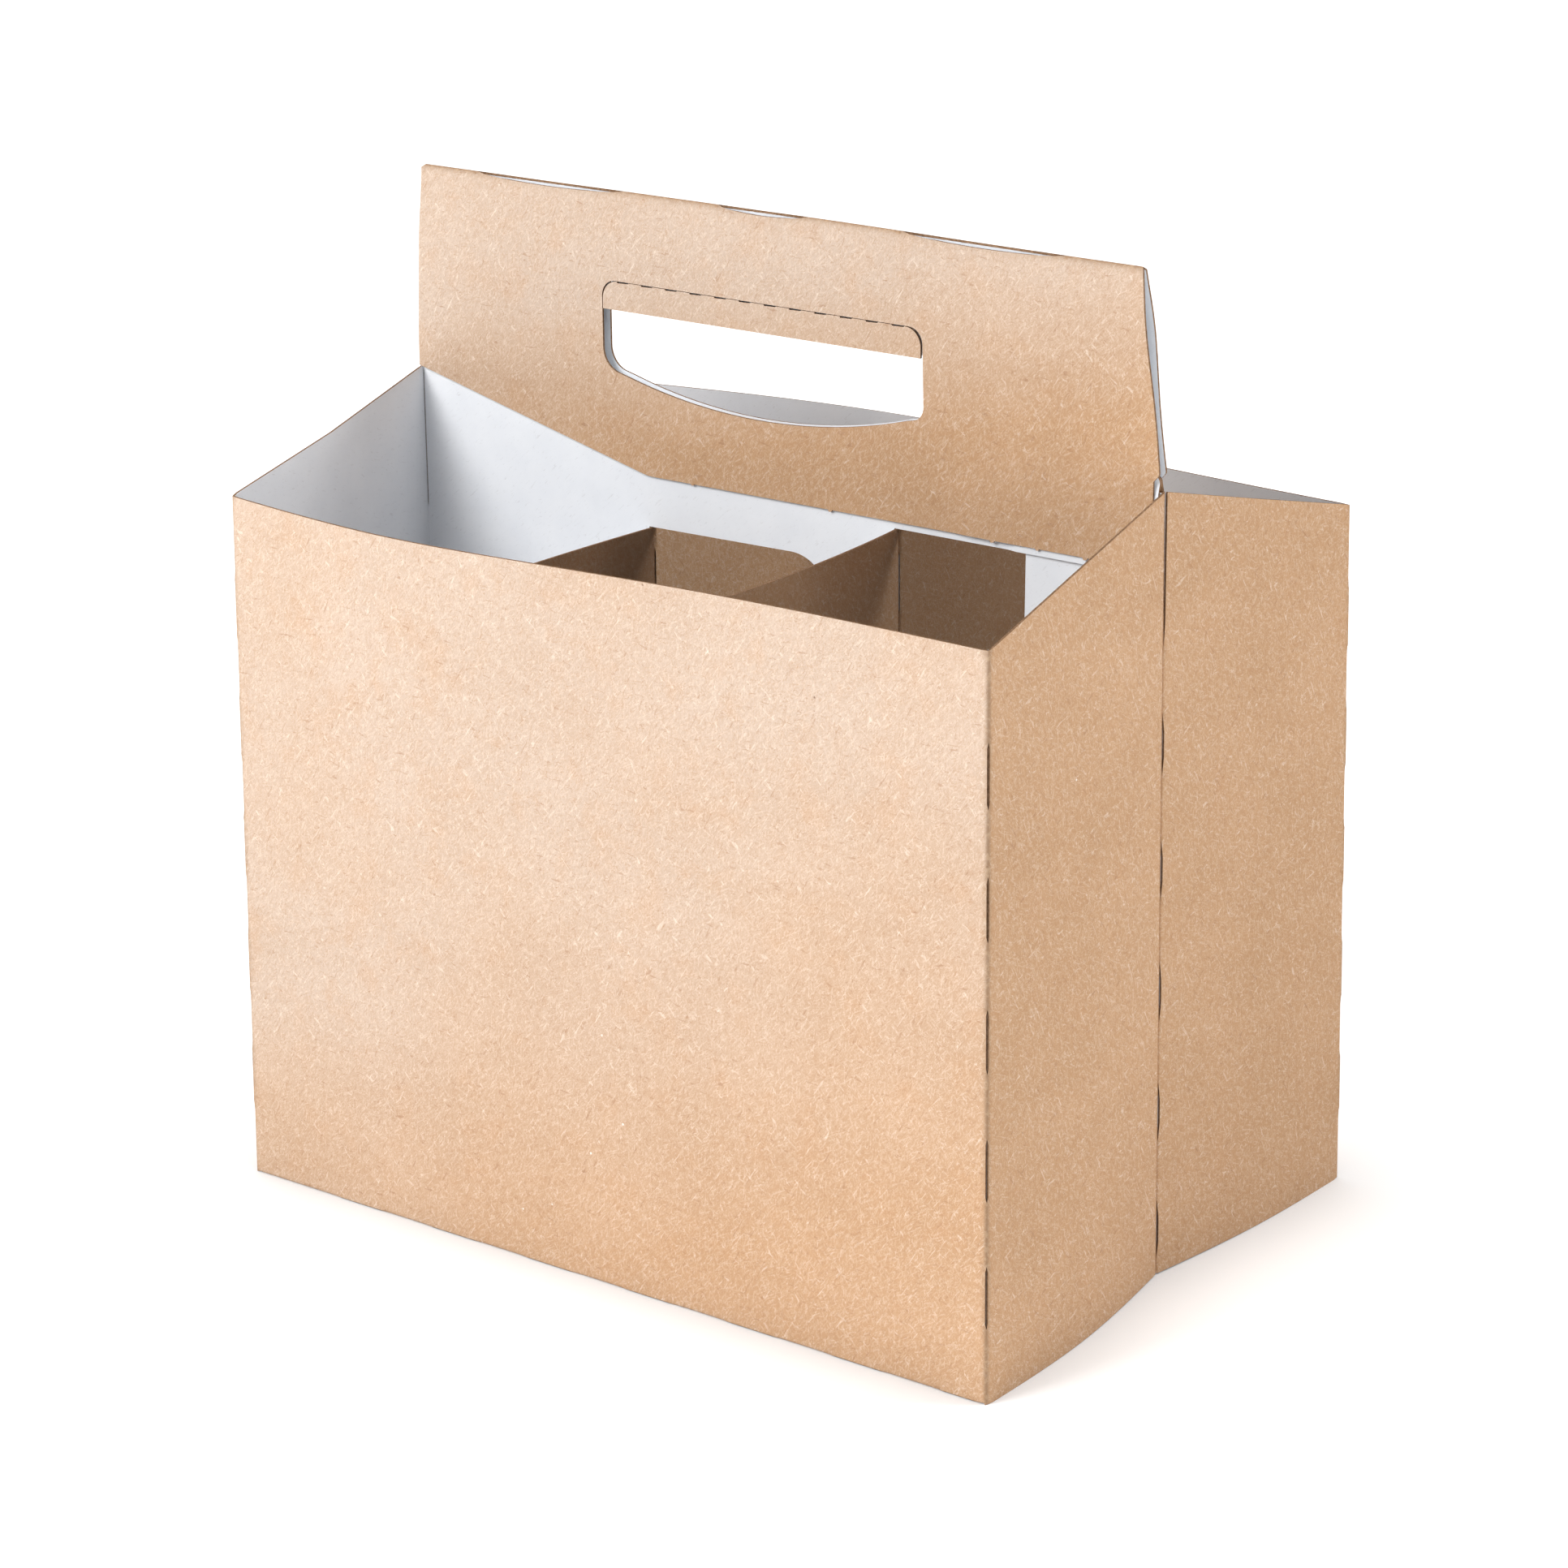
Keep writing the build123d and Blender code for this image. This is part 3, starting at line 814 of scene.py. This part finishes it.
def body_sheet(name, side):
    """One half of the folded sheet: glue flap, walls, bottom panel and riser."""
    path, folds = body_path(side)
    flap_fold, corner_1, corner_2, riser_fold, riser_end = folds[1:]
    hinge_low = riser_fold + LOW_HINGE + PANEL / 2
    hinge_high = riser_fold + HIGH_HINGE + PANEL / 2
    flap_step = riser_fold + FLAP_LEFT + PANEL / 2
    inward = -1j * side
    cut_ends = [corner_2 - BASE_CUT_START - i * CUT_PITCH for i in range(BASE_CUTS)]
    base_cuts = [(max(end - CUT_LENGTH, corner_1 + CUT_EASE), end) for end in cut_ends]

    def place(uv):
        u, v = uv.T
        height = np.maximum(v, 0)
        plan = path(u, height)
        z = height.copy()
        reach = tightened(u, BASE_ROUND, BASE_ROUND_AT_CUT, base_cuts)
        low = (v < reach) & (u > corner_1 + 0.5) & (u < corner_2 - 0.5)
        if low.any():
            down = -v[low]
            reach = reach[low]
            t = np.clip((down + reach) / (2 * reach), 0, 1)
            at_round = path(u[low], reach)
            base = path(u[low], np.zeros(low.sum()))
            plan_low = (1 - t) ** 2 * at_round + (2 * t * (1 - t) + t ** 2) * base
            plan_low += t ** 2 * inward * reach + inward * np.maximum(down - reach, 0)
            plan[low] = plan_low
            z[low] = (1 - t) ** 2 * reach
            if side > 0:
                z[low] += (BOARD + GLUE_GAP) * smooth((down - OVERLAP_START) / OVERLAP_EASE)
        return np.column_stack([plan.real, plan.imag, z])

    mid_1 = (flap_fold + corner_1) / 2
    mid_2 = (corner_2 + riser_fold) / 2
    mid_top = (WALL_TOP + FOLD_TOP) / 2
    opening_top, opening_low = TOP_CUT_OPENING[side]
    outline = rounded((
        (0, LIFT, 1.0),
        (flap_fold - RELIEF_FAR, LIFT, 0.5),
        (flap_fold - RELIEF_NEAR, RELIEF_TOP, 0.2),
        (corner_1, 0, 0),
        (corner_1 + BOTTOM_INSET, 0, 0.3),
        *((corner_1 + inset, -reach, 0) for reach, inset in bottom_insets(side, "right")),
        *((corner_2 - inset, -reach, 0) for reach, inset in bottom_insets(side, "left")[::-1]),
        (corner_2 - BOTTOM_INSET, 0, 0.3),
        (corner_2, 0, 0),
        (riser_fold + RELIEF_NEAR, RELIEF_TOP, 0.2),
        (riser_fold + RELIEF_FAR, LIFT, 0.5),
        (riser_end, LIFT, 1.0),
        (riser_end, HIGH_STRAP["bottom"], 0.6),
        (hinge_high - STRAP_ROUND, HIGH_STRAP["bottom"], 0),
        (hinge_high - STRAP_ROUND, HIGH_STRAP["top"], 0),
        (riser_end, HIGH_STRAP["top"], 0.6),
        (riser_end, TIP_TOP, 1.5),
        (flap_step, TIP_TOP, 1.5),
        (flap_step, FOLD_TOP, 0.5),
        (riser_fold, FOLD_TOP, 0.0),
        (mid_2, mid_top - END_SAG * (side < 0), END_SAG_RADIUS),
        (corner_2, WALL_TOP, 0.8),
        (corner_1, WALL_TOP, 0.8),
        (mid_1, mid_top, 0),
        (flap_fold + opening_top, FOLD_TOP, 0.3),
        (flap_fold + opening_low, FOLD_TOP - TOP_CUT + TOP_CUT_NARROW, 0),
        (flap_fold, FOLD_TOP - TOP_CUT, 0),
        (flap_fold - 0.15, FOLD_TOP, 0.1),
        (2, FOLD_TOP, 1.0),
    ))
    cuts = [slit(fold, low, high, CUT_WIDTH)
            for fold in (corner_1, corner_2) for low, high in fold_cuts(CORNER_CUT_TOP)]
    for low, high in fold_cuts(CENTRE_CUT_TOP):
        cuts.append(slit(riser_fold, low, high, CUT_WIDTH))
        cuts.append(slit(flap_fold, low, high, *RIGHT_CENTRE_CUT[side]))
    for shift in (-LEFT_TOP_CUT_SHIFT, LEFT_TOP_CUT_SHIFT):
        cuts.append(slit(riser_fold + shift, FOLD_TOP - TOP_CUT, FOLD_TOP - LEFT_TOP_CUT_END,
                         LEFT_TOP_CUT_WIDTH))
    cuts += [[(u, v) for v, u in slit(0, start, end, BASE_CUT_WIDTH)] for start, end in base_cuts]
    loops = [resample(outline, SHEET_STEP), resample(low_window(hinge_low), WINDOW_STEP)]
    loops += [resample(cut, CUT_STEP) for cut in cuts]

    def worn(uv):
        u, v = uv.T
        away = np.minimum(np.abs(u - corner_1), np.abs(u - corner_2))
        return np.exp(-(away / WORN_CORNER) ** 2) * (v > -1)

    folds_across = [flap_fold, corner_1, corner_2, riser_fold, flap_step - RISER_STEP / 2]
    columns = lines(0, riser_end, SHEET_GRID, folds_across, BODY_FOLD_LINES)
    rows = lines(-BOTTOM_REACH, TIP_TOP, SHEET_GRID, [0.0], BASE_FOLD_LINES)
    return board_sheet(name, loops, columns, rows, place, side, SHEET_CLEARANCE, {"worn": worn})


def strap_sheet(name, side, hinge, strap, top_outline):
    """One divider strap with its hinge fold on the riser and its glue tab on the long wall."""
    outer_wall = long_wall(side)
    face_x = hinge + BOARD / 2

    def wall_inside(x, z):
        left, right = (fold_at(f"{HALF[side]}_{end}", z).real for end in ("left", "right"))
        share = (x - left) / (right - left)
        face = outer_wall(share if side < 0 else 1 - share, z).imag
        return face - side * (BOARD + GLUE_GAP)

    def leave(t, z):
        return hinge - HINGE_LEAD + HINGE_LEAD * t + 0 * z + 1j * side * GLUE_GAP

    def across(t, z):
        end_x = face_x + strap["drift"]
        end_y = wall_inside(np.full(len(z), end_x), z) - side * BOARD
        bow = 4 * t * (1 - t) * strap["bow"]
        return hinge + (end_x - hinge) * t + bow + 1j * (side * GLUE_GAP * (1 - t) + end_y * t)

    def tab(t, z):
        x = face_x + strap["drift"] + GLUE_TAB * t
        return x + 1j * (wall_inside(x, z) - side * BOARD)

    panels = [(HINGE_LEAD, leave), (HALF_DEPTH, across), (GLUE_TAB, tab)]
    path, folds = plan_path(panels, [STRAP_ROUND, STRAP_ROUND])
    hinge_fold, tab_fold, tab_end = folds[1:]
    start = hinge_fold - STRAP_ROUND

    def place(uv):
        plan = path(uv[:, 0], uv[:, 1])
        return np.column_stack([plan.real, plan.imag, uv[:, 1]])

    loops = [resample(rounded(top_outline(start, hinge_fold, tab_end)), WINDOW_STEP)]
    for i in range(CUT_COUNT):
        high = strap["top"] - STRAP_CUT_START - i * CUT_PITCH
        low = high - CUT_LENGTH
        if low > strap["bottom"] + STRAP_CUT_MARGIN:
            loops.append(resample(slit(hinge_fold, low, high, STRAP_CUT_WIDTH), CUT_STEP))

    # Painted shade, going from its value at the hinge to its value beyond
    def shade(uv):
        at_hinge, beyond = STRAP_PAINTED_SHADE[name]
        share = smooth((uv[:, 0] - hinge_fold - SHADE_START) / SHADE_LENGTH)
        return at_hinge + (beyond - at_hinge) * share

    columns = lines(start, tab_end, STRAP_GRID, [hinge_fold, tab_fold], STRAP_FOLD_LINES)
    rows = lines(strap["bottom"], strap["top"], STRAP_GRID)
    return board_sheet(name, loops, columns, rows, place, side, SHEET_CLEARANCE, {"shade": shade})


def low_strap_outline(start, hinge_fold, tab_end):
    """The low strap laid flat: a tall part and an arm that ends in the glue tab."""
    return (
        (start, LOW_STRAP["bottom"], 0),
        (tab_end, LOW_STRAP["bottom"], STRAP_CORNER),
        (tab_end, LOW_STRAP["arm_top"], STRAP_CORNER),
        (hinge_fold + LOW_SLOPE_END, LOW_STRAP["arm_top"], STRAP_CORNER),
        (hinge_fold + LOW_SHOULDER, LOW_STRAP["top"] - 0.1, SHOULDER_RADIUS),
        (start, LOW_STRAP["top"] - 0.4, 0),
    )


def high_strap_outline(start, hinge_fold, tab_end):
    """The high strap laid flat."""
    return (
        (start, HIGH_STRAP["bottom"], 0),
        (tab_end, HIGH_STRAP["bottom"], STRAP_CORNER),
        (tab_end, HIGH_STRAP["top"], STRAP_CORNER),
        (start, HIGH_STRAP["top"], 0),
    )


# Handle

def handle_outline():
    """The handle's front ply from its foot up to the top fold, as height over the part's base."""
    left = -PANEL / 2
    right = PANEL / 2
    nicks = []
    for x, width, depth in NICKS:
        nicks += [(x - width / 2, HANDLE_LOW, 0), (x - width / 4, HANDLE_LOW - depth, 0),
                  (x + width / 4, HANDLE_LOW - depth * 0.8, 0), (x + width / 2, HANDLE_LOW, 0)]
    return (
        (left - 0.5, FOLD_TOP, 0),
        (left + HANDLE_SLOPE_END, HANDLE_LOW, HANDLE_SLOPE_RADIUS),
        *nicks,
        (right - HANDLE_RIGHT["foot"], HANDLE_LOW, 0.4),
        (right - HANDLE_RIGHT["foot"], HANDLE_STEP[0], 0.3),
        (right - HANDLE_RIGHT["step"], HANDLE_STEP[1], 1.0),
        (right - HANDLE_RIGHT["top"], HANDLE_TOP, 0),
        (left + HANDLE_LEFT_TOP, HANDLE_TOP, 0),
    )


def hole_outline(side):
    """The hand hole with the grip flap's place above it."""
    left = HOLE_SHIFT - HOLE_WIDTH / 2
    right = HOLE_SHIFT + HOLE_WIDTH / 2
    sag = HOLE_SIDE_END - HOLE_BOTTOM
    radius = (HOLE_WIDTH ** 2 / 4 + sag ** 2) / (2 * sag)
    reach = math.asin(HOLE_WIDTH / 2 / radius)
    low_arc = []
    for k in range(HOLE_ARC_POINTS + 1):
        angle = -reach + 2 * reach * k / HOLE_ARC_POINTS
        x = HOLE_SHIFT + radius * math.sin(angle)
        z = HOLE_BOTTOM + radius * (1 - math.cos(angle))
        if left + HOLE_LOW_LEFT < x < right - HOLE_LOW_RIGHT:
            low_arc.append((x, z, 0))
    corner = HOLE_CORNER[side]
    return rounded(low_arc + [
        (right + HOLE_LOW_LEAN, HOLE_SIDE_END - HOLE_LOW_DROP[1], HOLE_LOW_RIGHT),
        (right, HOLE_TOP, corner),
        (left, HOLE_TOP, corner),
        (left, HOLE_SIDE_END - HOLE_LOW_DROP[0], HOLE_LOW_LEFT),
    ])


def ply_face(x, drop):
    """Distance of a ply's outer face from the middle, at a drop below the top fold."""
    usual = TOP_FOLD_RADIUS + (PLY_FACE - TOP_FOLD_RADIUS) * smooth(drop / PLY_SETTLE)
    glued = smooth((drop - GLUED_DROP) / GLUED_DROP_EASE)
    usual = usual - GLUED_DOWN * glued * (1 - smooth((x - GLUED_RIGHT) / GLUED_RIGHT_EASE))
    at_edge = np.interp(drop, *zip(*EDGE_GAPE))
    return usual + (at_edge - usual) * smooth((x - GAPE_START) / GAPE_LENGTH)


def ridge_cut(start, length):
    """One of the cuts along the handle's top fold, laid flat: a blunt lens."""
    left = -PANEL / 2 + start
    count = RIDGE_CUT_POINTS
    swell = [math.sin(math.pi * k / count) ** RIDGE_CUT_BLUNTNESS for k in range(count + 1)]
    back = [(left + length * k / count, RIDGE_CUT_BACK * s) for k, s in enumerate(swell)]
    front = [(left + length * k / count, -RIDGE_CUT_FRONT * s) for k, s in enumerate(swell)]
    return back + front[-2:0:-1]


def make_handle():
    """Both plies of the handle and the round fold that joins them, as one bent sheet."""
    quarter = TOP_FOLD_RADIUS * math.pi / 2

    def place(uv):
        x, v = uv.T
        drop = np.maximum(np.abs(v) - quarter, 0)
        angle = np.clip(v / TOP_FOLD_RADIUS, -math.pi / 2, math.pi / 2)
        y = np.sin(angle) * ply_face(x, drop)
        z = HANDLE_TOP - TOP_FOLD_RADIUS * (1 - np.cos(angle)) - drop
        z -= RIGHT_DIP * smooth(x / DIP_LENGTH) * (1 - smooth(drop / DIP_DEPTH))
        return np.column_stack([x, y, z])

    def flat(points, side):
        """Points at (x, height) on one ply, laid flat."""
        return [(x, side * (HANDLE_TOP - TOP_FOLD_RADIUS - z + quarter)) for x, z in points]

    corners = handle_outline()
    ply = rounded(corners)[:-2]
    right, left = corners[-2][0], corners[-1][0]
    outline = flat(ply, -1)
    outline += [(right + 0.15, -1.0), (right - 0.3, 0), (right + 0.15, 1.0)]
    outline += flat(ply, 1)[::-1]
    outline += [(left - 0.1, 1.0), (left + 0.6, 0), (left - 0.1, -1.0)]
    loops = [resample(outline, SHEET_STEP)]
    loops += [resample(flat(hole_outline(side), side), HOLE_STEP) for side in (-1, 1)]
    loops += [resample(ridge_cut(start, length), RIDGE_CUT_STEP) for start, length in RIDGE_CUTS]

    def worn(uv):
        return np.exp(-(uv[:, 1] / WORN_TOP) ** 2)

    reach = HANDLE_TOP - HANDLE_LOW + quarter
    columns = lines(-PANEL / 2 - 1, PANEL / 2, HANDLE_GRID)
    rows = lines(-reach, reach, HANDLE_GRID, [0.0], TOP_FOLD_LINES)
    return board_sheet("handle_plies", loops, columns, rows, place, 1, HANDLE_CLEARANCE, {"worn": worn})


def make_flap(side):
    """The grip flap in one ply, with the perforations along its fold."""
    left = HOLE_SHIFT - HOLE_WIDTH / 2
    right = HOLE_SHIFT + HOLE_WIDTH / 2
    end_left, end_right = left + FLAP_GAP_LEFT, right - FLAP_GAP_RIGHT
    top, bottom = HOLE_TOP - FLAP_GAP_TOP, HOLE_TOP - FLAP_HEIGHT
    corner = HOLE_CORNER[side] + FLAP_CORNER_EXTRA
    fold_left = left + corner + DASH_START
    fold_right = right - corner - DASH_END
    pitch = (fold_right - fold_left - DASH_LENGTH) / (DASHES - 1)
    arc_left = rounded(((end_left, bottom, 0), (end_left, top, corner),
                        (end_left + 3 * corner, top, 0)), FLAP_ARC_STEP)[1:-1]
    arc_right = rounded(((end_right - 3 * corner, top, 0), (end_right, top, corner),
                         (end_right - FLAP_TAPER, bottom, 0)), FLAP_ARC_STEP)[1:-1]
    outline = [(end_left, bottom)] + arc_left
    for i in range(DASHES):
        start, end = fold_left + i * pitch, fold_left + i * pitch + DASH_LENGTH
        cut = top - DASH_WIDTH
        outline += [(start, top), (start + 0.12, cut), (end - 0.2, cut + 0.08), (end, top)]
    outline += arc_right + [(end_right - FLAP_TAPER, bottom)]

    def place(uv):
        x, z = uv.T
        return np.column_stack([x, side * ply_face(x, HANDLE_TOP - TOP_FOLD_RADIUS - z), z])

    columns = lines(left, right, FLAP_GRID[0])
    rows = lines(bottom, HOLE_TOP, FLAP_GRID[1])
    return board_sheet(f"grip_flap_{HALF[side]}_board", [resample(outline, CUT_STEP)], columns, rows,
                       place, -side, FLAP_CLEARANCE)


# Assembly
pieces = [body_sheet("front_sheet", -1), body_sheet("back_sheet", 1)]
for side, half in HALF.items():
    pieces.append(strap_sheet(f"low_strap_{half}", side, LOW_HINGE, LOW_STRAP, low_strap_outline))
    pieces.append(strap_sheet(f"high_strap_{half}", side, HIGH_HINGE, HIGH_STRAP, high_strap_outline))
pieces.append(make_handle())
for piece in pieces:
    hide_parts("carrier")
    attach(piece, "carrier")
for side, node, body in ((-1, "grip_flap_front", "front_flap"), (1, "grip_flap_back", "back_flap")):
    flap = make_flap(side)
    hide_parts(node)
    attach(flap, body)


# Studio

def make_floor():
    """A wide pale floor that glows, so that it is white but for the contact shadow."""
    size = FLOOR_HALF_SIZE
    mesh = bpy.data.meshes.new("floor")
    corners = [(x, y, 0) for x, y in ((-size, -size), (size, -size), (size, size), (-size, size))]
    mesh.from_pydata(corners, [], [(0, 1, 2, 3)])
    material, tree, shader, add = shader_tools("floor_paint")
    coordinates = add("TexCoord").outputs["Object"]
    near = add("AmbientOcclusion", {"Distance": SHADOW_REACH}, samples=SHADOW_SAMPLES)
    open_air = ramp(add, near.outputs["AO"], *SHADOW_RANGE, SHADOW_LEAST, 1.0)
    colour = mixed(add, noise(add, coordinates, 3.0), *FLOOR_COLOUR)
    colour = mixed(add, open_air, SHADOW_COLOUR, colour)
    distance = add("VectorMath", {0: coordinates}, operation="LENGTH").outputs["Value"]
    glow = ramp(add, distance, *GLOW_RISE, *FLOOR_GLOW)
    tree.links.new(colour, shader.inputs["Base Color"])
    tree.links.new(product(add, open_air, glow), shader.inputs["Emission Strength"])
    shader.inputs["Emission Color"].default_value = (*WHITE, 1)
    shader.inputs["Roughness"].default_value = 0.9
    shader.inputs["Specular IOR Level"].default_value = 0.1
    mesh.materials.append(material)
    floor = bpy.data.objects.new("floor", mesh)
    bpy.context.scene.collection.objects.link(floor)


def make_light(name, place, size, power):
    """A square soft light aimed at the part."""
    data = bpy.data.lights.new(name, "AREA")
    data.shape = "SQUARE"
    data.size = size
    data.energy = power
    data.color = WHITE
    light = bpy.data.objects.new(name, data)
    light.location = place
    light.rotation_mode = "QUATERNION"
    light.rotation_quaternion = (Vector(LIGHT_TARGET) - Vector(place)).to_track_quat("-Z", "Y")
    bpy.context.scene.collection.objects.link(light)


def make_camera():
    """The camera at the photograph's place."""
    azimuth = math.radians(CAMERA_AZIMUTH)
    elevation = math.radians(CAMERA_ELEVATION)
    back = Vector((math.sin(azimuth) * math.cos(elevation),
                   -math.cos(azimuth) * math.cos(elevation),
                   math.sin(elevation)))
    right = Vector((math.cos(azimuth), math.sin(azimuth), 0))
    up = back.cross(right)
    turn = Matrix.Rotation(math.radians(CAMERA_ROLL), 3, back)
    right, up = turn @ right, turn @ up
    data = bpy.data.cameras.new("photo_camera")
    data.lens = CAMERA_LENS
    data.sensor_width = CAMERA_SENSOR
    data.clip_start = 0.05
    data.clip_end = 50.0
    camera = bpy.data.objects.new("photo_camera", data)
    axes = Matrix((right, up, back)).transposed()
    camera.matrix_world = Matrix.Translation(CAMERA_TARGET + back * CAMERA_DISTANCE) @ axes.to_4x4()
    bpy.context.scene.collection.objects.link(camera)
    bpy.context.scene.camera = camera


def make_world():
    """White light from all round, full at the horizon and weaker from above."""
    world = bpy.data.worlds.new("studio")
    world.use_nodes = True
    tree = world.node_tree
    direction = tree.nodes.new("ShaderNodeTexCoord")
    split = tree.nodes.new("ShaderNodeSeparateXYZ")
    fade = tree.nodes.new("ShaderNodeMapRange")
    settings = {"From Min": HORIZON_RISE[0], "From Max": HORIZON_RISE[1], "To Min": 1.0,
                "To Max": SKY_STRENGTH}
    for socket, value in settings.items():
        fade.inputs[socket].default_value = value
    tree.links.new(direction.outputs["Generated"], split.inputs[0])
    tree.links.new(split.outputs[2], fade.inputs["Value"])
    shade = tree.nodes["Background"]
    shade.inputs["Color"].default_value = (*WHITE, 1)
    tree.links.new(fade.outputs[0], shade.inputs["Strength"])
    bpy.context.scene.world = world
    bpy.context.scene.view_settings.view_transform = "Standard"
    bpy.context.scene.view_settings.look = "None"


make_floor()
make_world()
for light in LIGHTS:
    make_light(*light)
make_camera()
